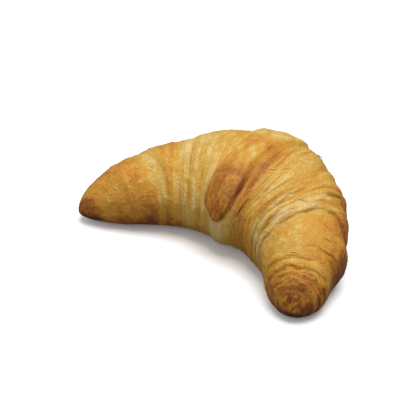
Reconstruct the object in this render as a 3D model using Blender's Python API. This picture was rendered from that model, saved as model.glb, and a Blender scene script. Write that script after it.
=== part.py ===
"""A baked croissant as one solid. Run it with: blender --background --python part.py

A triangle of laminated dough is rolled up from its base to its tip, and the roll is bent into a crescent that
rests on its flat underside. The solid starts as a ball whose two poles become the ends of the roll. Each point
of the ball is then placed by two numbers: its station, the distance along the roll's middle line from the middle
of the bend, and its turn, the angle round the roll: 0 is the outer side of the crescent, a quarter turn is the
top, half a turn is the inner side and three quarters is the underside. The dough's folds are relief on that.
"""

import math

import bmesh
import bpy
import numpy as np

MM = 0.001

# The roll's middle line, seen from above
LEFT_ARM = 84 * MM  # from the middle of the bend to the left end
RIGHT_ARM = 75 * MM
BEND = math.radians(74)  # how far the line turns in the bend
BEND_SPREAD = 45 * MM  # how far along the line the bend is spread
BEND_PLACE = 5.5 * MM
LEFT_CURL = math.radians(21)  # how far each arm turns as well, evenly
RIGHT_CURL = math.radians(30)

# The roll's thickness
MIDDLE_WIDTH = 64 * MM
LEFT_END_WIDTH = 19 * MM  # where the arm would end without its rounding
RIGHT_END_WIDTH = 20 * MM
LEFT_HOLLOW = 0.5 * MM  # how much slimmer than a straight taper an arm is halfway along
RIGHT_HOLLOW = -1.6 * MM
MIDDLE_FLATNESS = 0.69  # height as a share of width
END_FLATNESS = 1.03
LEFT_ROUNDING = 25 * MM  # length of each rounded end
RIGHT_ROUNDING = 11 * MM
END_LIFT = 0.35  # share of an end's lost height by which it is lifted off the table
BELLY_SQUARENESS = 0.7  # under 1, the lower half of a section is squarer than an ellipse
BELLY_CUT = 1.0 * MM  # how much the underside is flattened

# Swollen and sunken places: station, turn in degrees, reach along, reach round in degrees, height
SWELLINGS = (
    (-18 * MM, 62, 9.6 * MM, 48, 1.4 * MM),
    (11 * MM, 40, 5.4 * MM, 41, 1.4 * MM),
    (-80 * MM, 75, 6.0 * MM, 60, 1.1 * MM),
    (50 * MM, 350, 5.4 * MM, 42, 1.9 * MM),
    (46 * MM, 195, 6.0 * MM, 30, -1.2 * MM),
    (70 * MM, 320, 4.8 * MM, 48, 0.7 * MM),
    (62 * MM, 350, 4.8 * MM, 42, -0.8 * MM),
    (60 * MM, 200, 7.2 * MM, 36, -0.5 * MM),
)

# The tongue: the last of the dough triangle to be rolled on. It comes from under the outer side, crosses the top
# and ends as a leaf on the inner side. Station of its two sides, in millimetres, at turns in degrees
TONGUE_TURNS = (-45, 0, 40, 75, 95, 110, 120, 135, 150, 158, 165, 172, 176, 178)
TONGUE_LEFT = (-6, -7, -7.5, -8, -9, -10.5, -12, -14.2, -15.8, -15.4, -13, -5, 3, 7)
TONGUE_RIGHT = (6, 7, 7, 7.5, 8.6, 10.2, 12.4, 15.6, 17.4, 16.8, 15, 12.6, 10, 7)
TONGUE_START = math.radians(-40)
TONGUE_START_LENGTH = math.radians(60)
TONGUE_THICKNESS = 2.6 * MM  # where it crosses the top
TONGUE_END_THICKNESS = 1.8 * MM
TONGUE_LIP = 3.2 * MM  # width of its rounded side

# The other folds, from the left end to the right. Each is the edge of a turn of dough over the turn below it:
# station on the top, lean (how far it has moved along by the inner side), hook (how far it bows out on the outer
# side), step down towards the end of the arm, depth of the groove at its foot, and first and last turn in degrees
FOLDS = (
    (-75.0 * MM, 7.0 * MM, 0, 0.3 * MM, 0.2 * MM, 20, 150),
    (-66.5 * MM, 6.5 * MM, 0, 0.4 * MM, 0.2 * MM, 20, 200),
    (-53.0 * MM, 8.0 * MM, 0, -0.4 * MM, 0, 20, 190),
    (-47.0 * MM, 8.0 * MM, 0, 0.6 * MM, 0.2 * MM, 10, 200),
    (-37.6 * MM, 0.8 * MM, 0, -0.6 * MM, 0.2 * MM, 40, 200),
    (-29.0 * MM, 0.6 * MM, 0, 0.6 * MM, 0.1 * MM, 10, 205),
    (19.5 * MM, 12.0 * MM, 0, 0.4 * MM, 0.4 * MM, 60, 132),
    (26.5 * MM, 10.0 * MM, 0, 0.4 * MM, 0.3 * MM, 40, 170),
    (33.5 * MM, 7.5 * MM, 0, 0.5 * MM, 0.5 * MM, 30, 195),
    (42.3 * MM, 6.6 * MM, 6.0 * MM, 0.9 * MM, 0.9 * MM, -40, 200),
    (57.5 * MM, 2.0 * MM, 0, 0.3 * MM, 0.4 * MM, -10, 130),
    (65.0 * MM, 0.5 * MM, 0, 0.3 * MM, 0.4 * MM, 40, 190),
)
FOLD_WIDTH = 2.0 * MM  # length over which a step falls
FOLD_FADE = 25  # degrees over which a fold fades out past its first and last turn
HOOK_REACH = math.radians(38)

# The mesh
SIDES = 52
RINGS = 88
RING_CROWDING = 0.45  # how much closer the rings are at the ends than in the middle, from 0 to 1
LINE_STEPS = 1200

CRUST = (0.62, 0.34, 0.10)  # golden brown, linear colour
CRUST_ROUGHNESS = 0.45


def middle_line():
    """Stations along the middle line, with its place and heading at each. The heading turns with the bell curve
    of the bend, whose running total is the error function, and evenly along each arm."""
    station = np.linspace(-LEFT_ARM, RIGHT_ARM, LINE_STEPS)
    erf = np.vectorize(math.erf)
    bend = (erf((station - BEND_PLACE) / BEND_SPREAD) - math.erf(-BEND_PLACE / BEND_SPREAD)) * BEND / 2
    curl = np.where(station < 0, station / LEFT_ARM * LEFT_CURL, station / RIGHT_ARM * RIGHT_CURL)
    heading = -(bend + curl)
    step = station[1] - station[0]
    x = np.cumsum(np.cos(heading)) * step
    y = np.cumsum(np.sin(heading)) * step
    # Turned so that the chord from end to end runs along X
    chord = math.atan2(y[-1] - y[0], x[-1] - x[0])
    along = x * math.cos(chord) + y * math.sin(chord)
    across = y * math.cos(chord) - x * math.sin(chord)
    return station, along, across, heading - chord


def smooth_step(x):
    """0 below 0, 1 above 1, and a smooth rise between."""
    x = np.clip(x, 0, 1)
    return x * x * (3 - 2 * x)


def size_at(station):
    """Half the width and half the height of the plain roll at a station, and the share left by its rounded end."""
    left = station < 0
    arm = np.where(left, LEFT_ARM, RIGHT_ARM)
    share = np.abs(station) / arm
    end_width = np.where(left, LEFT_END_WIDTH, RIGHT_END_WIDTH)
    hollow = np.where(left, LEFT_HOLLOW, RIGHT_HOLLOW)
    width = MIDDLE_WIDTH + (end_width - MIDDLE_WIDTH) * share - 2 * hollow * np.sin(np.pi * share)
    flatness = MIDDLE_FLATNESS + (END_FLATNESS - MIDDLE_FLATNESS) * share
    rounding = np.where(left, LEFT_ROUNDING, RIGHT_ROUNDING)
    from_end = np.clip((arm - np.abs(station)) / rounding, 0, 1)
    cap = np.sqrt(1 - (1 - from_end) ** 2)
    return width / 2, width / 2 * flatness, cap


def turn_gap(turn, place):
    """How far a turn is from a place, the short way round, in radians."""
    return (turn - place + np.pi) % (2 * np.pi) - np.pi


def between(turn, first, last):
    """1 between the first and last turn, which are in degrees, and fading to 0 outside them."""
    middle, half = math.radians((first + last) / 2), math.radians((last - first) / 2)
    return 1 - smooth_step((np.abs(turn_gap(turn, middle)) - half) / math.radians(FOLD_FADE))


def swelling_relief(station, turn):
    """Height of the swollen and sunken places, each a bell curve both ways."""
    relief = np.zeros_like(station)
    for place, turn_at, along, around, height in SWELLINGS:
        away = ((station - place) / along) ** 2 + (turn_gap(turn, math.radians(turn_at)) / math.radians(around)) ** 2
        relief += height * np.exp(-away)
    return relief


def fold_relief(station, turn):
    """Height of the folds: each is a step down towards the end of its arm, with a groove at its foot."""
    relief = np.zeros_like(station)
    for place, lean, hook, step, groove, first, last in FOLDS:
        line = place - lean * np.cos(turn) + hook * np.exp(-((turn_gap(turn, 0) / HOOK_REACH) ** 2))
        past = (station - line) * np.sign(place)
        fold = -step * smooth_step(past / FOLD_WIDTH)
        fold -= groove * np.exp(-(((past - FOLD_WIDTH) / FOLD_WIDTH) ** 2))
        # The dough swells again past the foot, so that the arm keeps its taper
        fold += step * smooth_step((past - FOLD_WIDTH) / (4 * FOLD_WIDTH))
        relief += fold * between(turn, first, last)
    return relief


def tongue_relief(station, turn, stretch):
    """How much of the tongue covers a point, from 0 to 1, and the tongue's height there: how far the point is inside
    the nearest side, rounded over at the lip. Stretch is the true length along the surface of a unit of station,
    which is short on the inner side of the bend."""
    signed_turn = (turn + np.pi / 2) % (2 * np.pi) - np.pi / 2
    left = np.interp(np.degrees(signed_turn), TONGUE_TURNS, TONGUE_LEFT) * MM
    right = np.interp(np.degrees(signed_turn), TONGUE_TURNS, TONGUE_RIGHT) * MM
    inside = smooth_step(np.minimum(station - left, right - station) * stretch / TONGUE_LIP)
    inside *= (signed_turn > math.radians(TONGUE_TURNS[0])) & (signed_turn < math.radians(TONGUE_TURNS[-1]))
    inside *= smooth_step((signed_turn - TONGUE_START) / TONGUE_START_LENGTH)
    inner = np.clip(-np.cos(turn), 0, 1)
    return inside, (TONGUE_THICKNESS + (TONGUE_END_THICKNESS - TONGUE_THICKNESS) * inner) * inside


def place_points(station, turn):
    """Where the points at these stations and turns lie in space."""
    line_station, line_x, line_y, line_heading = middle_line()
    x = np.interp(station, line_station, line_x)
    y = np.interp(station, line_station, line_y)
    heading = np.interp(station, line_station, line_heading)
    half_width, half_height, cap = size_at(station)
    curvature = -np.gradient(line_heading, line_station)
    stretch = 1 + np.interp(station, line_station, curvature) * half_width * np.cos(turn)
    covered, tongue = tongue_relief(station, turn, stretch)
    relief = (swelling_relief(station, turn) + fold_relief(station, turn) * (1 - covered) + tongue) * cap
    outwards = np.cos(turn) * (half_width * cap + relief)
    lift = half_height * cap + (1 - cap) * half_height * 2 * END_LIFT
    rise = np.sin(turn)
    rise = np.where(rise < 0, -np.abs(rise) ** BELLY_SQUARENESS, rise)
    up = lift + rise * (half_height * cap + np.where(rise > 0, relief, 0))
    points = np.stack([x - np.sin(heading) * outwards, y + np.cos(heading) * outwards, up - BELLY_CUT], axis=-1)
    points[:, 2] = np.maximum(points[:, 2], 0)
    return points


def ball():
    """A ball of rings and sides about the Z axis, as a bmesh."""
    mesh = bmesh.new()
    bmesh.ops.create_uvsphere(mesh, u_segments=SIDES, v_segments=RINGS, radius=1)
    return mesh


def croissant_mesh():
    """The ball with each point moved to its place on the roll."""
    mesh = ball()
    unit = np.array([vertex.co for vertex in mesh.verts])
    along = np.arccos(np.clip(-unit[:, 2], -1, 1)) / np.pi
    along -= RING_CROWDING * np.sin(2 * np.pi * along) / (2 * np.pi)
    station = -LEFT_ARM + (LEFT_ARM + RIGHT_ARM) * along
    turn = np.arctan2(unit[:, 1], unit[:, 0]) % (2 * np.pi)
    points = place_points(station, turn)
    points[:, :2] -= (points[:, :2].min(axis=0) + points[:, :2].max(axis=0)) / 2
    for vertex, point in zip(mesh.verts, points, strict=True):
        vertex.co = point
    made = bpy.data.meshes.new("croissant")
    mesh.to_mesh(made)
    mesh.free()
    made.shade_smooth()
    return made


def crust_material():
    """Baked crust: golden brown with a slight gloss."""
    material = bpy.data.materials.new("crust")
    material.use_nodes = True
    shader = material.node_tree.nodes["Principled BSDF"]
    shader.inputs["Base Color"].default_value = (*CRUST, 1)
    shader.inputs["Roughness"].default_value = CRUST_ROUGHNESS
    shader.inputs["Metallic"].default_value = 0
    return material


def main():
    for old in list(bpy.data.objects):
        bpy.data.objects.remove(old)
    collection = bpy.data.collections.new("Croissant")
    bpy.context.scene.collection.children.link(collection)
    croissant = bpy.data.objects.new("croissant", croissant_mesh())
    croissant.data.materials.append(crust_material())
    collection.objects.link(croissant)


main()
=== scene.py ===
"""The looks of a baked croissant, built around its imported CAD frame.

A point of the pastry is named by two numbers. Its station is the distance along the middle line of
the roll, 0 in the middle of the bend and negative towards the left end. Its turn is the angle round
the roll, 0 on the outer side of the bend, 90 degrees on top, 180 on the inner side and 270 beneath.
Lengths are metres. Every surface is worked out from these two as whole arrays.
"""

import math

import bpy
import numpy as np
from mathutils import Matrix, Vector


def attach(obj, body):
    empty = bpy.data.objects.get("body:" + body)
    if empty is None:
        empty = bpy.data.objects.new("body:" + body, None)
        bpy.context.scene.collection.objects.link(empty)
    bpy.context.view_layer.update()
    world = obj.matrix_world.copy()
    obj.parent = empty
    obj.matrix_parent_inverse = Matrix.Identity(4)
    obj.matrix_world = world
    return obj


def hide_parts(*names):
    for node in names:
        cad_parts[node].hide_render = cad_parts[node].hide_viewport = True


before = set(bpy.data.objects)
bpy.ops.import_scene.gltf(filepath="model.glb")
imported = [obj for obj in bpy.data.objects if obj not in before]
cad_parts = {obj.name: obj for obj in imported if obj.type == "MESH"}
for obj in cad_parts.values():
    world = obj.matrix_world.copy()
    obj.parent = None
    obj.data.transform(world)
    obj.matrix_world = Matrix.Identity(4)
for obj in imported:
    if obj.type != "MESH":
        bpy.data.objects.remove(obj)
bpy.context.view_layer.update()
MM = 0.001

# ---------------------------------------------------------------- the roll, as in the CAD
LEFT_ARM = 84 * MM  # from the middle of the bend to the left end, along the middle line
RIGHT_ARM = 75 * MM
BEND = math.radians(74)  # how far the line turns in the bend
BEND_SPREAD = 45 * MM  # how far along the line the bend is spread
BEND_PLACE = 5.5 * MM
LEFT_CURL = math.radians(21)  # how far each arm turns as well, evenly
RIGHT_CURL = math.radians(30)
MIDDLE_WIDTH = 64 * MM
LEFT_END_WIDTH = 19 * MM  # where the arm would end without its rounding
RIGHT_END_WIDTH = 20 * MM
LEFT_HOLLOW = 0.5 * MM  # how much slimmer than a straight taper an arm is halfway along
RIGHT_HOLLOW = -1.6 * MM
MIDDLE_FLATNESS = 0.69  # height as a share of width
END_FLATNESS = 1.03
LEFT_ROUNDING = 25 * MM  # length of each rounded end
RIGHT_ROUNDING = 11 * MM
END_LIFT = 0.35  # share of an end's lost height by which it is lifted off the table
BELLY_SQUARENESS = 0.7  # under 1, the lower half of a section is squarer than an ellipse
BELLY_CUT = 1.0 * MM  # how much the underside is flattened
LINE_STEPS = 1200  # points on the middle line

# Swollen and sunken places: station, turn in degrees, reach along, reach round in degrees, height.
SWELLINGS = (
    (-18 * MM, 62, 9.6 * MM, 48, 1.4 * MM),
    (11 * MM, 40, 5.4 * MM, 40.8, 1.4 * MM),
    (-80 * MM, 75, 6.0 * MM, 60, 1.1 * MM),
    (50 * MM, 350, 5.4 * MM, 42, 1.9 * MM),
    (46 * MM, 195, 6.0 * MM, 30, -1.2 * MM),
    (70 * MM, 320, 4.8 * MM, 48, 0.7 * MM),
    (62 * MM, 350, 4.8 * MM, 42, -0.8 * MM),
    (60 * MM, 200, 7.2 * MM, 36, -0.5 * MM),
    (43 * MM, 355, 3.12 * MM, 31.2, -1.3 * MM),
    (27 * MM, 192, 6.0 * MM, 26.4, -1.1 * MM),
)

# The tongue: the last of the dough triangle to be wound on. Its two sides, in millimetres of
# station, and how wide its right side takes to rise, at these turns in degrees.
TONGUE_TURNS = (-45, 0, 40, 75, 95, 110, 120, 135, 150, 158, 165, 172, 176, 178)
TONGUE_LEFT = (-6, -7, -7.5, -8, -9, -10.5, -12, -14.2, -15.8, -15.4, -13, -5, 3, 7)
TONGUE_RIGHT = (6, 7, 7, 7.5, 8.6, 10.2, 12.4, 15.6, 17.4, 16.8, 15, 12.6, 10, 7)
TONGUE_RIGHT_LIP = (3.0, 3.0, 3.0, 3.2, 3.2, 2.6, 1.8, 1.2, 1.0, 1.0, 1.0, 1.0, 1.0, 1.0)
TONGUE_LEFT_LIP = 1.2 * MM
TONGUE_START = math.radians(-40)  # where it comes out from under the roll
TONGUE_START_LENGTH = math.radians(60)
TONGUE_THICKNESS = 2.4 * MM  # where it crosses the top
TONGUE_END_THICKNESS = 1.5 * MM
LEAF_START = 120  # the turn in degrees of the fold where the tongue's flat leaf begins

# The edges of the wound layers, from the left end to the right: station on top, lean and hook on
# the outer side, step down towards the end, lip, groove, softness, first and last turn in degrees.
# All but the turns and the softness are millimetres.
EDGES = (
    (-75.0, 7.0, 0, 0.15, 0.08, 0.08, 1.4, 20, 150),
    (-66.5, 6.5, 0, 0.20, 0.15, 0.10, 1.6, -20, 200),
    (-53.0, 8.0, 0, -0.45, 0.00, 0.05, 2.2, 20, 190),
    (-47.0, 8.0, 0, 0.50, 0.30, 0.05, 2.2, -30, 200),
    (-37.6, 0.8, 0, -0.65, 0.00, 0.15, 1.5, 40, 200),
    (-33.5, 0.5, 0, 0.20, 0.15, 0.10, 1.0, 60, 190),
    (-29.0, 0.6, 0, 0.55, 0.45, 0.00, 2.6, -30, 205),
    (-23.5, 0.4, 0, 0.30, 0.25, 0.00, 2.4, 60, 150),
    (-17.0, 0.2, 0, 0.20, 0.20, 0.00, 2.4, 50, 130),
    (15.0, 12.0, 0, 0.20, 0.20, 0.25, 0.8, 50, 110),
    (19.5, 12.0, 0, 0.25, 0.20, 0.35, 0.8, 60, 118),
    (25.0, 11.0, 0, 0.20, 0.15, 0.15, 1.2, 70, 150),
    (28.5, 9.0, 0, 0.30, 0.25, 0.15, 1.2, 40, 170),
    (32.5, 7.0, 0, 0.45, 0.40, 0.35, 1.0, 30, 190),
    (36.5, 8.0, 0, 0.45, 0.40, 0.40, 1.0, 20, 200),
    (39.0, 7.0, 0, 0.20, 0.25, 0.25, 0.8, 60, 150),
    (42.3, 6.6, 6.0, 0.80, 0.45, 0.55, 1.0, -40, 200),
    (57.5, 2.0, 0, 0.30, 0.10, 0.40, 0.8, -10, 80),
    (61.5, 1.0, 0, 0.25, 0.10, 0.25, 0.9, 70, 200),
    (65.0, 0.5, 0, 0.20, 0.15, 0.30, 0.8, 40, 150),
)
EDGE_DROP = 0.8 * MM  # length of the step down
EDGE_RECOVERY = 9 * MM  # length over which the skin comes back up
EDGE_OVERHANG = 0.7 * MM
EDGE_WAVE = 1.1 * MM
EDGE_FADE = 25  # in degrees, past an edge's first and last turn
HOOK_REACH = 38  # in degrees, how far round from the outer side an edge hooks

# Where lines of layers show on the roll, by station: 0 smooth crust, 1 all lines.
LINED_STATIONS = [s * MM for s in (-84, -66, -60, -50, -47, -44, -38.5, -36.5, -30, -25, -12, -9, 9, 13,
                                   30, 42, 45, 50, 60, 65, 75)]
LINED = [0.1, 0.2, 0.06, 0.15, 0.4, 0.15, 0.12, 0.35, 0.3, 0.2, 0.2, 0.15, 0.3, 1.0,
         1.0, 1.0, 0.3, 0.12, 0.35, 1.0, 1.2]

# Large bubbles under the glaze: station, turn in degrees, radius and height, in millimetres.
BUBBLES = (
    (1.5, 97, 2.2, 0.7), (4.5, 101, 1.8, 0.6), (-1.5, 106, 1.6, 0.5), (3.0, 88, 1.5, 0.4),
    (5.6, 92, 1.4, 0.4), (-5.5, 99, 1.7, 0.5), (-3.0, 84, 1.5, 0.35), (1.0, 112, 1.5, 0.4),
    (5.5, 110, 1.3, 0.4), (-7.0, 112, 1.3, 0.3), (5.0, 128, 1.4, 0.45), (8.0, 131, 1.2, 0.35),
    (2.0, 131, 1.2, 0.3), (-4.0, 72, 1.8, 0.35), (2.0, 70, 1.7, 0.35), (54.0, 118, 1.8, 0.35),
    (50.5, 95, 1.6, 0.3), (57.0, 92, 1.7, 0.35), (-58.0, 100, 1.9, 0.4), (-62.5, 124, 1.7, 0.35),
    (-55.5, 132, 1.6, 0.35), (-68.5, 104, 1.5, 0.3),
)
BUBBLE_ARC = 24  # millimetres round the roll to a radian of turn, where the bubbles are

# The coil seen on the right end of the roll.
COIL_START = 65.5 * MM
COIL_PITCH = 3.0 * MM
COIL_TURN = math.radians(60)  # where a wind begins
COIL_WINDS = 3

# How much a line round the roll leans, at these stations.
LEAN_STATIONS = [s * MM for s in (-84, -74, -66, -57, -48, -40, -30, -10, 6, 17, 31, 42, 57, 67, 75)]
LEANS = [s * MM for s in (8, 8, 5, 7, 8, 1, 0.5, 0, 4, 12, 7.5, 6.6, 2, 0.5, 0.5)]

# Grid of the pastry's skin
SKIN_RINGS = 570
SKIN_SIDES = 168
END_CROWDING = 0.62  # how much closer the rings are at the ends, from 0 to 1


def smooth_step(x):
    """0 below 0, 1 above 1, and 3x^2 - 2x^3 between."""
    x = np.clip(x, 0, 1)
    return x * x * (3 - 2 * x)


def hump(x):
    """The bell e to the power of minus x squared."""
    return np.exp(-x * x)


def turn_gap(turn, place):
    """How far turn is from place, both in radians, the short way round, signed."""
    return (turn - place + math.pi) % (2 * math.pi) - math.pi


def window(turn, first, last, fade):
    """1 where turn is between first and last, fading to 0 over fade outside them, in degrees."""
    middle, half = math.radians((first + last) / 2), math.radians((last - first) / 2)
    return 1 - smooth_step((abs(turn_gap(turn, middle)) - half) / math.radians(fade))


def rising(x, start, length):
    """0 before start, 1 from start + length on, and a smooth step between."""
    return smooth_step((x - start) / length)


def turn_hump(turn, place, reach):
    """A bell round the roll, with its middle and its reach in degrees."""
    return hump(turn_gap(turn, math.radians(place)) / math.radians(reach))


def noise(seed, along, turn, cells_round):
    """Even random heights from -1 to 1, one to each whole number along and to each of
    cells_round shares of the turn, blended between neighbours by smooth steps."""
    heights = np.random.default_rng(seed).uniform(-1, 1, (512, cells_round))
    round_place = (turn / (2 * math.pi)) % 1 * cells_round
    row, column = np.floor(along).astype(int), np.floor(round_place).astype(int)
    u, v = smooth_step(along - row), smooth_step(round_place - column)

    def height_at(i, j):
        return heights[(row + i) % 512, (column + j) % cells_round]

    near = height_at(0, 0) * (1 - u) + height_at(1, 0) * u
    far = height_at(0, 1) * (1 - u) + height_at(1, 1) * u
    return near * (1 - v) + far * v


def round_noise(seed, turn, cells_round):
    """Noise that changes round the roll and not along it."""
    return noise(seed, np.zeros_like(turn), turn, cells_round)


def blisters(seed, along, turn, cells_round, reach):
    """Round bubbles: 1 - (distance/reach)^2, smoothed, to the nearest of the random centres, one
    to each cell. Distance and reach are in cells. Only two thirds of the cells have a bubble."""
    random = np.random.default_rng(seed)
    du, dv = random.uniform(0, 1, (2, 512, cells_round))
    size = np.clip(random.uniform(-0.5, 1, (512, cells_round)), 0, 1)
    v_all = (turn / (2 * math.pi)) % 1 * cells_round
    row, column = np.floor(along).astype(int), np.floor(v_all).astype(int)
    best = np.zeros_like(along)
    for i in (-1, 0, 1):
        for j in (-1, 0, 1):
            r, c = (row + i) % 512, (column + j) % cells_round
            away = np.hypot(row + i + du[r, c] - along, column + j + dv[r, c] - v_all)
            best = np.maximum(best, size[r, c] * smooth_step(1 - (away / reach) ** 2))
    return best


def middle_line():
    """Station, place along the chord, place across it, and heading, of the roll's middle line. The
    heading turns by an error function, for the bend, and by a straight share, for the curl."""
    station = np.linspace(-LEFT_ARM, RIGHT_ARM, LINE_STEPS)
    erf = np.vectorize(math.erf)
    bend = (erf((station - BEND_PLACE) / BEND_SPREAD) - math.erf(-BEND_PLACE / BEND_SPREAD)) * BEND / 2
    curl = np.where(station < 0, station / LEFT_ARM * LEFT_CURL, station / RIGHT_ARM * RIGHT_CURL)
    heading = -(bend + curl)
    step = station[1] - station[0]
    x, y = np.cumsum(np.cos(heading)) * step, np.cumsum(np.sin(heading)) * step
    chord = math.atan2(y[-1] - y[0], x[-1] - x[0])
    along = x * math.cos(chord) + y * math.sin(chord)
    across = y * math.cos(chord) - x * math.sin(chord)
    return station, along, across, heading - chord


LINE = middle_line()


def size_at(station):
    """Half width, half height and end rounding of the roll. The width runs straight from the
    middle to each end, less a half wave of hollow; the rounding is a quarter circle."""
    left = station < 0
    arm = np.where(left, LEFT_ARM, RIGHT_ARM)
    share = np.abs(station) / arm
    end_width = np.where(left, LEFT_END_WIDTH, RIGHT_END_WIDTH)
    hollow = np.where(left, LEFT_HOLLOW, RIGHT_HOLLOW)
    rounding = np.where(left, LEFT_ROUNDING, RIGHT_ROUNDING)
    width = MIDDLE_WIDTH + (end_width - MIDDLE_WIDTH) * share - 2 * hollow * np.sin(np.pi * share)
    flatness = MIDDLE_FLATNESS + (END_FLATNESS - MIDDLE_FLATNESS) * share
    from_end = np.clip((arm - np.abs(station)) / rounding, 0, 1)
    return width / 2, width / 2 * flatness, np.sqrt(1 - (1 - from_end) ** 2)


def leaned(station, turn):
    """The station that a line round the roll has on top: station + lean x cosine of turn."""
    return station + np.interp(station, LEAN_STATIONS, LEANS) * np.cos(turn)


def swelling_relief(station, turn):
    """Height of the swollen and sunken places: the sum of a bell along times a bell round."""
    height = np.zeros_like(station)
    for place, turn_at, along, around, high in SWELLINGS:
        height += high * hump((station - place) / along) * turn_hump(turn, turn_at, around)
    return height


def tongue_fields(station, turn, stretch):
    """Distance inside the tongue's left side and inside its right side, how far its right side
    takes to rise, and how much of the tongue has come out from under the roll at this turn."""
    signed_turn = np.degrees((turn + math.pi / 2) % (2 * math.pi) - math.pi / 2)
    wobble = 0.6 * MM * round_noise(41, turn, 34)
    from_left = station - np.interp(signed_turn, TONGUE_TURNS, TONGUE_LEFT) * MM + wobble
    from_right = np.interp(signed_turn, TONGUE_TURNS, TONGUE_RIGHT) * MM - station + wobble
    right_lip = np.interp(signed_turn, TONGUE_TURNS, TONGUE_RIGHT_LIP) * MM
    here = (signed_turn > TONGUE_TURNS[0] + 1) & (signed_turn < TONGUE_TURNS[-1])
    risen = rising(np.radians(signed_turn), TONGUE_START, TONGUE_START_LENGTH) * here
    return from_left * stretch, from_right * stretch, right_lip, risen


def tongue_relief(station, turn, stretch):
    """Height and marks of the tongue: a band with a thin rim along its left side and a wall along its
    right side, a valley beside it, and a fold across it where its flat leaf begins. The rim's mark is a
    painted highlight; the marks of the wall, the valley, the leaf's right edge and the creases are
    painted shade."""
    from_left, from_right, right_lip, risen = tongue_fields(station, turn, stretch)
    tongue = risen * smooth_step(from_left / TONGUE_LEFT_LIP) * smooth_step(from_right / right_lip)
    inner = np.clip(-np.cos(turn), 0, 1)
    height = (TONGUE_THICKNESS + (TONGUE_END_THICKNESS - TONGUE_THICKNESS) * inner) * tongue
    # The rim is raised, and its mark also paints it paler as a highlight.
    rim_and_highlight = risen * hump((from_left - 0.8 * MM) / (0.8 * MM)) * (from_right > 0) * window(turn, 60, 112, 12)
    height += 0.45 * MM * rim_and_highlight
    # Painted shade: browner on the slope of the tongue's right wall.
    wall_shade = risen * rising(from_right, -1.5 * MM, 1.5 * MM) * (1 - rising(from_right, 1 * MM, 2.5 * MM))
    wall_shade *= window(turn, 40, 112, 15)
    # Painted shade: browner in the valley beside the tongue's right side.
    valley_shade = risen * hump((from_right + 3.2 * MM) / (2.6 * MM)) * window(turn, 88, 150, 25)

    # The roll is pressed in a little along both sides, but on the left only beside the leaf.
    nearest = np.minimum(from_left, from_right)
    beside = risen * hump((nearest + 0.6 * MM) / (0.9 * MM)) * window(turn, 30, 160, 40)
    beside *= np.where(from_left < from_right, 0.15 + 0.85 * window(turn, 120, 185, 12), 1)
    height -= 0.35 * MM * beside

    # Degrees past the fold, which is uneven and comes later away from the middle.
    uneven = 3.0 * noise(55, station / (5 * MM), np.zeros_like(turn), 4) + 0.3 * abs(station / MM)
    past_fold = np.degrees(turn) - LEAF_START - uneven
    height += 0.8 * MM * tongue * hump((past_fold + 9) / 9)
    height -= 0.45 * MM * tongue * hump((past_fold - 2) / 3)
    leaf = risen * rising(nearest, -0.4 * MM, 0.8 * MM) * rising(past_fold, -13, 26)
    # Painted shade along the leaf's right edge.
    leaf_edge_shade = leaf * hump((from_right - 0.5 * MM) / (1.0 * MM))
    # Painted shade in the creases beside the tongue and at the fold.
    crease_shade = np.maximum(0.45 * beside, 0.6 * tongue * hump((past_fold - 1.5) / 2.2))
    return height, {"tongue": tongue, "rim_and_highlight": rim_and_highlight, "wall_shade": wall_shade, "valley_shade": valley_shade, "leaf": leaf,
                    "leaf_edge_shade": leaf_edge_shade, "crease_shade": crease_shade}


def past_edge(station, turn, place, lean, hook, wave_seed):
    """Distance past a layer's wavy edge, towards the nearer end of the roll."""
    line = (place - lean * np.cos(turn)) * MM + hook * MM * turn_hump(turn, 0, HOOK_REACH)
    wave = round_noise(wave_seed, turn, 26) + 0.5 * round_noise(wave_seed + 1, turn, 61)
    return (station - line) * np.sign(place) + EDGE_WAVE * 0.5 * wave


def edge_relief(station, turn, tongue):
    """Height, shift along the roll, and marks of the layers' edges. Past an edge the skin steps
    down from a lip into a groove and comes back up over EDGE_RECOVERY; at the edge it is pushed
    towards the end of the roll, so that it overhangs. The groove's mark is painted shade and the
    lip's mark a painted highlight; the paler skin just past an edge is the crust's own."""
    height, shift, crease_shade, fresh, lip_highlight = np.zeros((5, *station.shape))
    for index, (place, lean, hook, step, lip, groove, soft, first, last) in enumerate(EDGES):
        past = past_edge(station, turn, place, lean, hook, 100 + 3 * index) / soft
        strength = window(turn, first, last, EDGE_FADE) * (1 - tongue)
        broken = smooth_step(0.62 + 0.75 * round_noise(300 + index, turn, 23))
        lip_at = strength * hump((past + 0.9 * MM) / (1.3 * MM)) * (0.4 + 0.6 * broken)
        groove_at = strength * broken * hump((past - 0.8 * MM) / (0.75 * MM))
        stepped = smooth_step(past / EDGE_DROP) - rising(past, 1.2 * MM, EDGE_RECOVERY)
        height += MM * (lip * lip_at - groove * groove_at - step * strength * stepped)
        overhang = hump((past + 0.2 * MM) / (0.9 * MM)) * np.clip(step + groove, 0, 1)
        shift += np.sign(place) * strength * broken * EDGE_OVERHANG / soft ** 2 * overhang
        past_lip = smooth_step(past / MM) * (1 - rising(past, 2 * MM, 7 * MM))
        # Painted shade in the groove past an edge.
        crease_shade = np.maximum(crease_shade, min(1.5 * groove / soft, 1) * groove_at)
        fresh = np.maximum(fresh, strength * np.clip(step + 0.1, 0, 1) * past_lip)
        # Painted highlight: paler along the layers' lips.
        lip_highlight = np.maximum(lip_highlight, min(2.2 * lip, 1) * lip_at)
    return height, shift, {"crease_shade": crease_shade, "fresh": fresh, "lip": lip_highlight}


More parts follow.
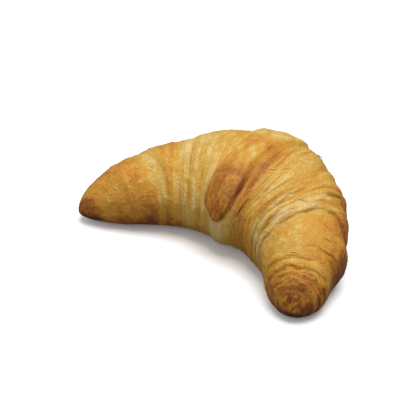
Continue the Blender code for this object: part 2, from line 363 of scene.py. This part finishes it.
def layer_relief(line_place, turn, lined, on_body):
    """Height and marks of the layers seen on edge: fine wavy lines round the roll, some of them open,
    soft swells, and ridges on the right arm and at its end. The open lines' mark is painted shade, and
    the ridges' mark paints a highlight on their tops and shade between them."""
    lines = noise(11, line_place / (1.0 * MM), turn, 14) + 0.7 * noise(12, line_place / (0.6 * MM), turn, 22)
    swells = noise(13, line_place / (3.0 * MM), turn, 9)
    open_lines = rising(noise(17, line_place / (1.3 * MM), turn, 16), 0.45, 0.35) * lined * on_body
    ridged = rising(line_place, 24 * MM, 4 * MM) * (1 - rising(line_place, 41 * MM, 3 * MM))
    ridged += 0.8 * rising(line_place, 57 * MM, 3 * MM)
    # The ridges are raised, and their mark also paints highlights on their tops and shade between them.
    ridges_and_painted_light = noise(18, line_place / (1.9 * MM), turn, 10) * ridged * on_body
    height = ((0.06 + 0.20 * lined) * lines + (0.12 + 0.25 * lined) * swells) * on_body
    height += 0.42 * ridges_and_painted_light - 0.30 * open_lines
    return height * MM, {"lined": lined * on_body, "lines": lines * lined * on_body, "ridges_and_painted_light": ridges_and_painted_light,
                         "crease_shade": 0.7 * open_lines}


def bubble_relief(station, turn, above, bubbly):
    """Height and marks of small random blisters on smooth crust, finer ones all over, and the
    large bubbles, each a bell."""
    blistered = blisters(21, station / (3.2 * MM), turn, 46, 0.6) * bubbly
    height = above * (0.32 * blistered + 0.10 * blisters(22, station / (1.4 * MM), turn, 95, 0.5))
    large = np.zeros_like(station)
    for place, turn_at, radius, high in BUBBLES:
        along = (station / MM - place) / radius
        around = turn_gap(turn, math.radians(turn_at)) * BUBBLE_ARC / radius
        bubble = hump(np.hypot(along, around))
        height += high * bubble
        large = np.maximum(large, bubble * high / 0.6)
    return height * MM, {"bubble": blistered, "large": large}


def coil_relief(station, turn):
    """Height and marks of the coil on the right end: a groove that winds in by COIL_PITCH a turn,
    with a low ridge before it. Its mark is painted shade in the groove."""
    wound = ((turn - COIL_TURN) % (2 * math.pi)) / (2 * math.pi)
    wave = 0.5 * MM * round_noise(61, turn, 20)
    there = rising(station, 63 * MM, 4 * MM)
    height, crease_shade = np.zeros((2, *station.shape))
    for wind in range(COIL_WINDS):
        past = station - COIL_START - COIL_PITCH * (wound + wind) + wave
        line = there * hump((past - 0.4 * MM) / (0.5 * MM)) * (0.6 + 0.4 * round_noise(66, turn, 9))
        height += there * 0.3 * MM * hump((past + 0.5 * MM) / (0.7 * MM)) - 0.5 * MM * line
        # Painted shade in the coil's groove.
        crease_shade = np.maximum(crease_shade, 0.7 * line)
    return height, {"crease_shade": crease_shade}


def relief_and_marks(station, turn, stretch):
    """Height of the skin over the plain roll, the shift of a point along the roll, and the marks
    that the crust's colour follows, painted shade and highlights among them, each as an array."""
    above = window(turn, -30, 205, 25)
    tongue_height, tongue_marks = tongue_relief(station, turn, stretch)
    tongue = tongue_marks["tongue"]
    edge_height, shift, edge_marks = edge_relief(station, turn, tongue)
    line_place = leaned(station, turn) + 0.9 * MM * noise(16, station / (6 * MM), turn, 12)
    lined = np.interp(line_place, LINED_STATIONS, LINED)
    layer_height, layer_marks = layer_relief(line_place, turn, lined, above * (1 - 0.85 * tongue))
    bubble_height, bubble_marks = bubble_relief(station, turn, above, np.maximum(tongue, 1 - lined))
    coil_height, coil_marks = coil_relief(station, turn)
    lumps = 0.36 * noise(14, station / (9 * MM), turn, 11) + 0.20 * noise(15, station / (3.5 * MM), turn, 30)
    height = (swelling_relief(station, turn) + tongue_height + edge_height + layer_height
              + bubble_height + coil_height + lumps * MM * above)
    creased = (tongue_marks, edge_marks, layer_marks, coil_marks)
    # The darkest painted shade of all the creases and grooves.
    deepest = np.max([marks["crease_shade"] for marks in creased], axis=0)
    return height, shift, {**tongue_marks, **edge_marks, **layer_marks, **bubble_marks, "crease_shade": deepest}


def place_points(station, turn):
    """Points of the skin, and the marks there. Across the roll a point lies at half width x cosine
    of turn plus height, upwards at half height x sine of turn plus height, beneath the sine is
    raised to a power so that the belly is flat, and nothing goes under the ground."""
    line_station, line_x, line_y, line_heading = LINE
    curvature = -np.gradient(line_heading, line_station)
    half_width, half_height, cap = size_at(station)
    stretch = 1 + np.interp(station, line_station, curvature) * half_width * np.cos(turn)
    height, shift, marks = relief_and_marks(station, turn, stretch)
    moved = np.clip(station + shift * cap, -LEFT_ARM, RIGHT_ARM)
    half_width, half_height, cap = size_at(moved)
    x, y = np.interp(moved, line_station, line_x), np.interp(moved, line_station, line_y)
    heading = np.interp(moved, line_station, line_heading)
    height = height * cap
    outwards = np.cos(turn) * (half_width * cap + height)
    lift = half_height * cap + (1 - cap) * half_height * 2 * END_LIFT
    rise = np.sin(turn)
    rise = np.where(rise < 0, -np.abs(rise) ** BELLY_SQUARENESS, rise)
    up = lift + rise * (half_height * cap + np.where(rise > 0, height, 0)) - BELLY_CUT
    points = np.stack([x - np.sin(heading) * outwards, y + np.cos(heading) * outwards, up], axis=-1)
    points[..., 2] = np.maximum(points[..., 2], 0)
    return points, marks


# How baked the crust is along the roll's top, 0 cream to 1 dark brown.
BAKE_STATIONS = [s * MM for s in (-84, -82.5, -81, -74, -68, -62, -56, -52, -49.5, -46, -38.5, -36.5, -34,
                                  -30, -26, -14, -9, 9, 13, 22, 30, 34, 39, 42, 45, 52, 58, 64, 68, 75)]
BAKES = [0.78, 0.66, 0.53, 0.51, 0.56, 0.54, 0.52, 0.36, 0.27, 0.42, 0.56, 0.38, 0.28,
         0.29, 0.35, 0.33, 0.36, 0.40, 0.34, 0.34, 0.38, 0.39, 0.36, 0.32, 0.38, 0.38, 0.39, 0.45, 0.55, 0.77]
TONGUE_BAKE = 0.55  # less where it crosses the back and the top
LEAF_BAKE = 0.74

# Browner places: station, turn in degrees, reach along, reach round in degrees, change of bake.
BROWN_PATCHES = (
    (46 * MM, 342, 8 * MM, 26, 0.16),
    (30 * MM, 186, 8 * MM, 22, 0.22),
    (-47 * MM, 196, 10 * MM, 26, 0.20),
)

# Soft stripes along the layers, paler or browner: station on top, half width, change of bake.
STRIPES = (
    (-71.0, 2.0, 0.07), (-60.0, 2.5, 0.06), (-51.5, 1.7, -0.16), (-45.0, 2.2, 0.08), (-38.3, 0.8, -0.20),
    (-35.0, 1.0, 0.12), (-31.0, 1.1, -0.15), (-28.0, 0.9, 0.11), (-25.6, 0.9, -0.14), (-21.5, 1.2, 0.09),
    (-17.8, 1.0, -0.12), (-12.5, 1.2, 0.08), (13.0, 1.0, -0.12), (17.5, 1.3, 0.09), (23.5, 1.0, -0.12),
    (26.5, 1.0, 0.10), (30.6, 0.9, 0.12), (34.6, 0.9, 0.12), (41.0, 0.9, -0.14), (48.0, 2.0, 0.08),
    (54.0, 1.5, -0.07), (60.5, 0.9, 0.12), (63.2, 0.8, -0.14),
)


def bake_and_painted_light_at(station, turn, marks):
    """How baked the crust is, with painted light and shade in it too: along the roll by a table, more
    on the tongue's leaf, less just past an edge, with patches of chance. It is higher beneath and on
    the outer side, partly from the crust's own browning and partly as painted shade; higher on the
    tongue's right wall, in the valley beside it and along the leaf's right edge as painted shade;
    and lower on the tongue's rim, the layers' lips and the tops of the ridges as a painted highlight."""
    line_place = leaned(station, turn)
    bake_and_painted_light = np.interp(line_place, BAKE_STATIONS, BAKES)
    tongue_bake = TONGUE_BAKE - 0.14 * window(turn, -20, 60, 30) - 0.22 * window(turn, 44, 62, 20)
    bake_and_painted_light += (tongue_bake - bake_and_painted_light) * marks["tongue"]
    # The leaf is baked browner; its right edge and the tongue's right wall get painted shade.
    bake_and_painted_light += (LEAF_BAKE - bake_and_painted_light) * marks["leaf"] + 0.14 * marks["leaf_edge_shade"] + 0.05 * marks["wall_shade"]
    # Painted shade in the valley beside the tongue; the layer lines' own tone is the crust's.
    bake_and_painted_light += 0.40 * marks["valley_shade"] + 0.10 * marks["lines"]
    # Paler just past an edge, where layers opened late; paler on the layers' lips and the tongue's rim as a
    # painted highlight.
    bake_and_painted_light -= 0.10 * marks["fresh"] + 0.14 * marks["lip"] + 0.54 * marks["rim_and_highlight"]
    # Paler on blisters; paler on the ridges' tops and browner between them as painted highlight and shade.
    bake_and_painted_light -= 0.10 * marks["bubble"] + 0.12 * marks["ridges_and_painted_light"]
    bake_and_painted_light -= 0.33 * marks["large"] * (1 - 0.4 * marks["leaf"])

    # The right arm's outer side, the foot of its end, the back of the left end, and the underside,
    # darker partly from the crust's own browning and partly as painted shade where they turn from the lamps.
    outer = turn_hump(turn, -9, 57) * rising(station, 18 * MM, 14 * MM)
    outer *= 1 - 0.85 * rising(station, 57 * MM, 10 * MM)
    end_foot = turn_hump(turn, 250, 65) * rising(station, 64 * MM, 6 * MM)
    left_back = turn_hump(turn, 15, 36) * rising(-station, 40 * MM, 14 * MM)
    beneath, low_edge = 1 - window(turn, 2, 178, 40), 1 - window(turn, -9, 179, 16)
    bake_and_painted_light += 0.44 * outer + 0.16 * end_foot + 0.15 * left_back + 0.12 * beneath + 0.10 * low_edge
    for place, turn_at, along, around, change in BROWN_PATCHES:
        bake_and_painted_light += change * hump((station - place) / along) * turn_hump(turn, turn_at, around)
    off_tongue = 1 - marks["tongue"]
    bake_and_painted_light -= 0.40 * hump((station - 3 * MM) / (13 * MM)) * window(turn, 150, 206, 14) * off_tongue

    bake_and_painted_light += 0.05 * noise(71, station / (7 * MM), turn, 14) + 0.045 * noise(72, station / (2.6 * MM), turn, 36)
    wobbly = line_place + 0.7 * MM * noise(74, station / (8 * MM), turn, 9)
    striped = off_tongue * window(turn, -20, 200, 20)
    for place, half_width, change in STRIPES:
        broken = 0.75 + 0.5 * round_noise(int(500 + place), turn, 11)
        bake_and_painted_light += change * broken * striped * hump((wobbly - place * MM) / (half_width * MM))
    on_left_arm = rising(-station, 8 * MM, 4 * MM) * rising(station, -50 * MM, 6 * MM)
    bake_and_painted_light += 0.12 * noise(73, line_place / (2.6 * MM), turn, 5) * on_left_arm
    return np.clip(bake_and_painted_light, 0, 1)


def skin_grid(rings, sides):
    """Stations, closer towards the ends by a sine, by turns, with both poles left out."""
    share = (np.arange(rings) + 0.5) / rings
    share -= END_CROWDING * np.sin(2 * np.pi * share) / (2 * np.pi)
    station = -LEFT_ARM + (LEFT_ARM + RIGHT_ARM) * share
    turn = np.arange(sides) / sides * 2 * np.pi
    return np.meshgrid(station, turn, indexing="ij")


def mesh_from(name, points, quads, triangles=None):
    """A smooth mesh from arrays of points, four-cornered faces and three-cornered faces."""
    triangles = np.zeros((0, 3), int) if triangles is None else triangles
    mesh = bpy.data.meshes.new(name)
    mesh.vertices.add(len(points))
    mesh.vertices.foreach_set("co", points.astype(np.float32).ravel())
    corners = np.concatenate([quads.ravel(), triangles.ravel()]).astype(np.int32)
    counts = np.concatenate([np.full(len(quads), 4), np.full(len(triangles), 3)]).astype(np.int32)
    starts = np.concatenate([[0], np.cumsum(counts)[:-1]]).astype(np.int32)
    mesh.loops.add(len(corners))
    mesh.loops.foreach_set("vertex_index", corners)
    mesh.polygons.add(len(counts))
    mesh.polygons.foreach_set("loop_start", starts)
    mesh.update(calc_edges=True)
    mesh.validate()
    mesh.shade_smooth()
    return mesh


def add_object(name, data):
    """Puts a mesh, lamp or camera into the scene as an object."""
    thing = bpy.data.objects.new(name, data)
    bpy.context.scene.collection.objects.link(thing)
    return thing


def add_mark(mesh, name, values):
    """Stores one number per point, or one point of three numbers, for the material to read."""
    kind = "FLOAT" if values.ndim == 1 else "FLOAT_VECTOR"
    attribute = mesh.attributes.new(name, kind, "POINT")
    attribute.data.foreach_set("value" if kind == "FLOAT" else "vector", values.astype(np.float32).ravel())


PATTERN_RADIUS = 20 * MM  # of the straight roll on which the layer lines are drawn


def pastry_skin():
    """The whole crust: a grid of stations by turns closed by a fan at each end. Returns it and the
    centre of its box, which is put over the origin."""
    station, turn = skin_grid(SKIN_RINGS, SKIN_SIDES)
    rings, sides = station.shape
    station, turn = station.ravel(), turn.ravel()
    points, marks = place_points(station, turn)
    marks["bake_and_painted_light"] = bake_and_painted_light_at(station, turn, marks)
    line_place = leaned(station, turn)
    straight = np.stack([line_place, PATTERN_RADIUS * np.cos(turn), PATTERN_RADIUS * np.sin(turn)], -1)
    points = np.concatenate([points, [points[:sides].mean(0), points[-sides:].mean(0)]])
    centre = (points.min(0) + points.max(0)) / 2
    points[:, :2] -= centre[:2]
    number = np.arange(rings * sides).reshape(rings, sides)
    beside = np.roll(number, -1, axis=1)
    quads = np.stack([number[:-1], beside[:-1], beside[1:], number[1:]], -1).reshape(-1, 4)
    near_fan = np.stack([beside[0], number[0], np.full(sides, rings * sides)], -1)
    far_fan = np.stack([number[-1], beside[-1], np.full(sides, rings * sides + 1)], -1)
    mesh = mesh_from("pastry_skin", points, quads, np.concatenate([near_fan, far_fan]))
    for name in ("bake_and_painted_light", "crease_shade", "lined"):
        values = marks[name]
        add_mark(mesh, name, np.concatenate([values, [values[:sides].mean(), values[-sides:].mean()]]))
    ends = np.array([[-LEFT_ARM, 0, 0], [RIGHT_ARM, 0, 0]])
    add_mark(mesh, "roll_place", np.concatenate([straight, ends]))
    return add_object("pastry_skin", mesh), centre


# Loose flakes and threads of crust: station, turn in degrees, length, width, heading in degrees
# from the roll's own line, and lift of the far end. Lengths are millimetres.
FLAKES = (
    (-33.0, 148, 6.0, 0.5, 70, 0.9), (-35.0, 143, 4.6, 0.4, 20, 0.7), (-31.6, 128, 7.0, 0.4, 85, 0.5),
    (-34.5, 156, 3.0, 0.4, 120, 0.6), (-25.5, 149, 4.2, 0.4, 40, 0.8), (-24.0, 142, 3.0, 0.35, 150, 0.7),
    (-31.0, 104, 5.5, 0.5, 88, 0.4), (-36.5, 120, 3.2, 0.4, 100, 0.5), (-20.0, 152, 3.4, 0.35, 110, 0.7),
    (-44.0, 152, 3.0, 0.5, 75, 0.4), (-49.0, 108, 3.4, 0.5, 60, 0.4), (-67.0, 128, 2.6, 0.5, 50, 0.4),
    (20.5, 160, 6.5, 0.45, 85, 0.9), (22.5, 165, 6.0, 0.4, 40, 0.8), (18.5, 154, 5.0, 0.35, 20, 0.6),
    (25.0, 163, 5.0, 0.4, 130, 0.8), (28.0, 154, 4.6, 0.4, 80, 0.6), (23.0, 156, 4.0, 0.3, 60, 0.6),
    (20.5, 128, 3.8, 0.4, 110, 0.5), (16.0, 98, 4.0, 0.5, 105, 0.5), (18.5, 88, 3.4, 0.5, 95, 0.5),
    (33.0, 96, 4.2, 0.5, 95, 0.5), (37.0, 84, 4.0, 0.5, 100, 0.5), (43.0, 120, 3.8, 0.5, 85, 0.5),
    (41.5, 98, 3.4, 0.5, 80, 0.4), (47.0, 137, 4.6, 0.4, 130, 0.7), (11.8, 30, 3.6, 1.8, 20, 0.8),
    (52.5, 50, 3.0, 0.5, 95, 0.4), (60.5, 96, 3.2, 0.4, 95, 0.3), (-46.0, 150, 3.0, 0.4, 80, 0.5),
    (-22.0, 128, 4.4, 0.4, 95, 0.5), (10.5, 240, 4.0, 0.8, 60, 0.5), (-15.0, 20, 4.2, 0.6, 80, 0.7),
    (-40.0, 12, 3.6, 0.6, 95, 0.7), (30.0, 340, 3.8, 0.6, 85, 0.7), (52.0, 200, 3.2, 0.5, 100, 0.5),
    (-58.0, 350, 3.4, 0.6, 70, 0.6),
)
FLAKE_STEPS = 10
FLAKE_THICKNESS = 0.16 * MM
FLAKE_GAP = 0.10 * MM  # between the skin and the middle of a flake's fixed end
FLAKE_BEND = 0.09  # how far a flake bows sideways, as a share of its length
NORMAL_REACH = 2.0 * MM  # how far from a flake's place the skin's slope is measured
LOWEST_FLAKE = 0.05 * MM

# Six points round a flake: their places across it and their heights, as shares of half of each.
FLAKE_ACROSS = (-1, -0.4, 0.4, 1, 0.4, -0.4)
FLAKE_UP = (0.3, 1, 1, 0.3, -0.3, -0.3)


def crust_flakes(centre):
    """All the loose flakes as one mesh. A flake is a ribbon of places round its own place on the
    roll, narrowing as a half wave to both ends and bent a little sideways; it stands off the skin
    by its lift x the square of the way along, and has an upper and a lower face."""
    place, turn_at, length, width, heading, lift = np.array(FLAKES).T[:, :, None, None]
    place, length, width, lift = (v * MM for v in (place, length, width, lift))
    turn_at, heading = np.radians(turn_at), np.radians(heading)
    along = np.linspace(0, 1, FLAKE_STEPS)[None, :, None]
    half_width = width / 2 * (0.15 + 0.85 * np.sin(np.pi * (0.1 + 0.8 * along)))
    bend = FLAKE_BEND * length * np.sin(np.pi * along) * np.sign(np.sin(7 * heading + place / MM))
    forward, sideways = (along - 0.5) * length, half_width * np.array(FLAKE_ACROSS) + bend
    station = place + forward * np.cos(heading) - sideways * np.sin(heading)
    half, _, cap = size_at(place)
    turn = turn_at + (forward * np.sin(heading) + sideways * np.cos(heading)) / (half * cap * 0.9)
    shape = station.shape

    def flat(values):
        return np.broadcast_to(values, shape).ravel()

    def across_skin(along_by, round_by):
        """From the skin before a flake's place to the skin past it, by these two steps."""
        past, _ = place_points(flat(place + along_by), flat(turn_at + round_by))
        before, _ = place_points(flat(place - along_by), flat(turn_at - round_by))
        return past - before

    points, _ = place_points(flat(station), flat(turn))
    normal = np.cross(across_skin(0, NORMAL_REACH / half), across_skin(NORMAL_REACH, 0))
    normal /= np.linalg.norm(normal, axis=1)[:, None]
    stand_off = FLAKE_GAP + lift * along ** 2 + FLAKE_THICKNESS / 2 * np.array(FLAKE_UP)
    points = points + normal * flat(stand_off)[:, None]
    points[:, :2] -= centre[:2]
    points[:, 2] = np.maximum(points[:, 2], LOWEST_FLAKE)
    number = np.arange(len(points)).reshape(shape)
    beside = np.roll(number, -1, axis=2)
    quads = np.stack([number[:, :-1], number[:, 1:], beside[:, 1:], beside[:, :-1]], -1).reshape(-1, 4)
    first, last = number[:, 0], number[:, -1]
    ends = np.concatenate([first[:, [0, 1, 2, 5]], first[:, [2, 3, 4, 5]],
                           last[:, [5, 2, 1, 0]], last[:, [5, 4, 3, 2]]])
    return add_object("crust_flakes", mesh_from("crust_flakes", points, np.concatenate([quads, ends])))


# ---------------------------------------------------------------- materials
def colour(code):
    """An sRGB hex colour as linear red, green, blue and full opacity."""
    parts = [int(code[i:i + 2], 16) / 255 for i in (1, 3, 5)]
    return [c / 12.92 if c <= 0.04045 else ((c + 0.055) / 1.055) ** 2.4 for c in parts] + [1]


def add_node(tree, kind, settings=None, **inputs):
    """Adds a node. Settings are its properties. An input takes a value, or a socket to link; an
    underscore in its name stands for a space, and a number after in_ picks it by its place."""
    node = tree.nodes.new(kind)
    for key, value in (settings or {}).items():
        setattr(node, key, value)
    for key, value in inputs.items():
        socket = node.inputs[int(key[3:])] if key.startswith("in_") else node.inputs[key.replace("_", " ")]
        if isinstance(value, bpy.types.NodeSocket):
            tree.links.new(value, socket)
        else:
            socket.default_value = value
    return node


def new_material(name):
    """An empty material and its node tree."""
    material = bpy.data.materials.new(name)
    material.use_nodes = True
    material.node_tree.nodes.clear()
    return material, material.node_tree


# Egg-washed butter pastry, from pale layers to dark crust.
BAKE_COLOURS = (
    (0.00, "#E9CA88"), (0.16, "#DFB967"), (0.34, "#D2A238"), (0.50, "#D79530"),
    (0.66, "#C27D28"), (0.82, "#97551A"), (1.00, "#582C0E"),
)
# Dark brown painted into creases and grooves as shade.
CREASE_SHADE_COLOUR = "#8A4E18"

# Patterns of chance in the crust: width of one patch, detail, roughness, and how much the bake
# changes. They are blushes of browning, mottle, specks of browned milk and sugar, and fine grain.
CRUST_PATTERNS = (
    (6.25 * MM, 4.0, 0.6, 0.40),
    (2.38 * MM, 3.0, 0.6, 0.40),
    (1.11 * MM, 3.0, 0.6, 0.30),
    (0.74 * MM, 2.0, 0.7, 0.85),
)
LAYER_LINE_WIDTH = 0.714 * MM  # real layers are about half as thick, too fine to show from here
LAYER_LINE_LENGTH = 14.3 * MM


def pastry_material():
    """Baked butter pastry: an egg-washed crust with a soft gloss, paler and rougher where layers
    opened late, browner where they stood proud, with fine lines where the layers end. Its colour also
    carries painted light and shade from the marks, and painted shade in the creases."""
    material, tree = new_material("baked_butter_pastry")
    mark = {name: add_node(tree, "ShaderNodeAttribute", {"attribute_name": name})
            for name in ("bake_and_painted_light", "crease_shade", "lined", "roll_place")}
    place = add_node(tree, "ShaderNodeTexCoord").outputs["Object"]

    # Patches of chance show less on dark crust than on pale crust.
    # This mark holds the crust's browning together with painted light and shade.
    bake_and_painted_light = mark["bake_and_painted_light"].outputs["Fac"]
    liveliness = add_node(tree, "ShaderNodeMapRange", Value=bake_and_painted_light,
                          From_Min=0.55, From_Max=0.8, To_Min=1.0, To_Max=0.3)
    for width, detail, rough, amount in CRUST_PATTERNS:
        pattern = add_node(tree, "ShaderNodeTexNoise", Vector=place,
                           Scale=1 / width, Detail=detail, Roughness=rough)
        share = add_node(tree, "ShaderNodeMath", {"operation": "MULTIPLY"},
                         in_0=liveliness.outputs[0], in_1=amount)
        centred = add_node(tree, "ShaderNodeMath", {"operation": "SUBTRACT"},
                           in_0=pattern.outputs["Fac"], in_1=0.5)
        bake_and_painted_light = add_node(tree, "ShaderNodeMath", {"operation": "MULTIPLY_ADD"},
                        in_0=centred.outputs[0], in_1=share.outputs[0], in_2=bake_and_painted_light).outputs[0]
    grain = pattern

    # Layer lines run round the roll, and show as streaks where layers end.
    squeeze = add_node(tree, "ShaderNodeVectorMath", {"operation": "MULTIPLY"},
                       in_0=mark["roll_place"].outputs["Vector"],
                       in_1=(1 / LAYER_LINE_WIDTH, 1 / LAYER_LINE_LENGTH, 1 / LAYER_LINE_LENGTH))
    layer_lines = add_node(tree, "ShaderNodeTexNoise", Vector=squeeze.outputs[0],
                           Scale=1.0, Detail=3.0, Roughness=0.55)
    line_height = add_node(tree, "ShaderNodeMath", {"operation": "SUBTRACT"},
                           in_0=layer_lines.outputs["Fac"], in_1=0.5)
    streaks = add_node(tree, "ShaderNodeMath", {"operation": "MULTIPLY"},
                       in_0=line_height.outputs[0], in_1=mark["lined"].outputs["Fac"])
    bake_and_painted_light = add_node(tree, "ShaderNodeMath", {"operation": "MULTIPLY_ADD"},
                    in_0=streaks.outputs[0], in_1=0.8, in_2=bake_and_painted_light).outputs[0]

    ramp = add_node(tree, "ShaderNodeValToRGB", in_0=bake_and_painted_light)
    while len(ramp.color_ramp.elements) < len(BAKE_COLOURS):
        ramp.color_ramp.elements.new(0.5)
    for element, (position, code) in zip(ramp.color_ramp.elements, BAKE_COLOURS):
        element.position = position
        element.color = colour(code)
    # Painted shade: the crust is mixed towards the crease colour by the crease mark.
    shade = add_node(tree, "ShaderNodeMath", {"operation": "MULTIPLY"},
                     in_0=mark["crease_shade"].outputs["Fac"], in_1=0.6)
    crust = add_node(tree, "ShaderNodeMix", {"data_type": "RGBA"}, in_0=shade.outputs[0],
                     in_6=ramp.outputs["Color"], in_7=colour(CREASE_SHADE_COLOUR))

    # Dark crust has taken more egg wash, and is glossier.
    roughness = add_node(tree, "ShaderNodeMapRange", Value=bake_and_painted_light,
                         From_Min=0.2, From_Max=0.8, To_Min=0.62, To_Max=0.42)
    line_share = add_node(tree, "ShaderNodeMapRange", Value=mark["lined"].outputs["Fac"],
                          From_Min=0.1, From_Max=1.0, To_Min=0.15, To_Max=1.6)
    fine_height = add_node(tree, "ShaderNodeMath", {"operation": "MULTIPLY_ADD"}, in_0=line_height.outputs[0],
                           in_1=line_share.outputs[0], in_2=grain.outputs["Fac"])
    bump = add_node(tree, "ShaderNodeBump", Height=fine_height.outputs[0], Strength=0.9, Distance=0.4 * MM)
    shader = add_node(tree, "ShaderNodeBsdfPrincipled", Base_Color=crust.outputs[2],
                      Roughness=roughness.outputs[0], IOR=1.45, Specular_IOR_Level=0.45,
                      Normal=bump.outputs["Normal"])
    add_node(tree, "ShaderNodeOutputMaterial", Surface=shader.outputs[0])
    return material


FLAKE_PATCH = 3.03 * MM  # width of one browner place on a flake


def flake_material():
    """Dry flakes of butter pastry: cream, matt and brittle, a little browner in places."""
    material, tree = new_material("dry_pastry_flakes")
    place = add_node(tree, "ShaderNodeTexCoord").outputs["Object"]
    patches = add_node(tree, "ShaderNodeTexNoise", Vector=place,
                       Scale=1 / FLAKE_PATCH, Detail=3.0, Roughness=0.6)
    tint = add_node(tree, "ShaderNodeMix", {"data_type": "RGBA"}, in_0=patches.outputs["Fac"],
                    in_6=colour("#EBCF94"), in_7=colour("#CD984C"))
    bump = add_node(tree, "ShaderNodeBump", Height=patches.outputs["Fac"], Strength=0.4, Distance=0.2 * MM)
    shader = add_node(tree, "ShaderNodeBsdfPrincipled", Base_Color=tint.outputs[2], Roughness=0.6,
                      IOR=1.45, Normal=bump.outputs["Normal"])
    add_node(tree, "ShaderNodeOutputMaterial", Surface=shader.outputs[0])
    return material


SEEN_PAPER = 1.36  # how much light the floor gives back to the camera, 1 being all of it


def floor_material():
    """Matt white paper. To the camera it is brighter than paper, so that it is white away from the
    shadow. To the pastry it is grey, so that it throws little light up under it."""
    material, tree = new_material("white_paper_floor")
    path = add_node(tree, "ShaderNodeLightPath")
    paper = add_node(tree, "ShaderNodeBsdfDiffuse", Color=(SEEN_PAPER, SEEN_PAPER, SEEN_PAPER, 1))
    dim_paper = add_node(tree, "ShaderNodeBsdfDiffuse", Color=colour("#7A7A7A"))
    glow = add_node(tree, "ShaderNodeEmission", Color=colour("#FFFFFF"), Strength=0.05)
    seen = add_node(tree, "ShaderNodeAddShader", in_0=paper.outputs[0], in_1=glow.outputs[0])
    mix = add_node(tree, "ShaderNodeMixShader", in_0=path.outputs["Is Camera Ray"],
                   in_1=dim_paper.outputs[0], in_2=seen.outputs[0])
    add_node(tree, "ShaderNodeOutputMaterial", Surface=mix.outputs[0])
    return material


# ---------------------------------------------------------------- stage
FLOOR_HALF = 4.0  # metres from the middle to each side


def lay_floor():
    """A flat square of paper at the ground."""
    corners = np.array([[-1, -1, 0], [1, -1, 0], [1, 1, 0], [-1, 1, 0]]) * FLOOR_HALF
    floor = add_object("floor", mesh_from("floor", corners, np.array([[0, 1, 2, 3]])))
    floor.data.materials.append(floor_material())
    return floor


# Name, place and width in metres, and power in watts, of each lamp. Both look at the origin.
LAMPS = (
    ("key", (0.10, 0.10, 1.10), 1.0, 10.0),
    ("fill", (0.1, -0.9, 0.8), 0.8, 1.07),
)


def add_lamp(name, place, width, power):
    """A round soft box."""
    lamp = bpy.data.lights.new(name, "AREA")
    lamp.shape = "DISK"
    lamp.size = width
    lamp.energy = power
    thing = add_object(name, lamp)
    thing.location = Vector(place)
    thing.rotation_euler = (-Vector(place)).to_track_quat("-Z", "Y").to_euler()


CAMERA_ELEVATION = math.radians(36.226)
CAMERA_AZIMUTH = math.radians(36.944)
CAMERA_DISTANCE = 0.65  # metres
CAMERA_TARGET = Vector((0, 0, 20 * MM))
AIM_RIGHT = -13.46 * MM  # how far past the target the camera looks
AIM_UP = -7.12 * MM
SENSOR_WIDTH = 36.0
LENS_TO_SENSOR = 3.4291


def add_camera():
    """A long lens from the front right, a third of the way up."""
    a, e = CAMERA_AZIMUTH, CAMERA_ELEVATION
    back = Vector((math.sin(a) * math.cos(e), -math.cos(a) * math.cos(e), math.sin(e)))
    right = Vector((math.cos(a), math.sin(a), 0))
    up = back.cross(right)
    axis = (back * CAMERA_DISTANCE - right * AIM_RIGHT - up * AIM_UP).normalized()
    level = (right - axis * right.dot(axis)).normalized()
    data = bpy.data.cameras.new("camera")
    data.sensor_width = SENSOR_WIDTH
    data.lens = SENSOR_WIDTH * LENS_TO_SENSOR
    camera = add_object("camera", data)
    camera.location = CAMERA_TARGET + back * CAMERA_DISTANCE
    camera.rotation_euler = Matrix((level, axis.cross(level), axis)).transposed().to_euler()
    bpy.context.scene.camera = camera


def light_world():
    """An even pale room, white to the camera."""
    world = bpy.data.worlds.new("studio")
    bpy.context.scene.world = world
    world.use_nodes = True
    tree = world.node_tree
    tree.nodes.clear()
    path = add_node(tree, "ShaderNodeLightPath")
    white = add_node(tree, "ShaderNodeBackground", Color=colour("#FFFFFF"), Strength=1.0)
    room = add_node(tree, "ShaderNodeBackground", Color=colour("#FFFFFF"), Strength=0.40)
    mix = add_node(tree, "ShaderNodeMixShader", in_0=path.outputs["Is Camera Ray"],
                   in_1=room.outputs[0], in_2=white.outputs[0])
    add_node(tree, "ShaderNodeOutputWorld", Surface=mix.outputs[0])


skin, roll_centre = pastry_skin()
skin.data.materials.append(pastry_material())
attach(skin, "root")
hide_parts("croissant")

flakes = crust_flakes(roll_centre)
flakes.data.materials.append(flake_material())
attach(flakes, "root")

lay_floor()
light_world()
for name, place, width, power in LAMPS:
    add_lamp(name, place, width, power)
add_camera()
bpy.context.scene.view_settings.view_transform = "Standard"
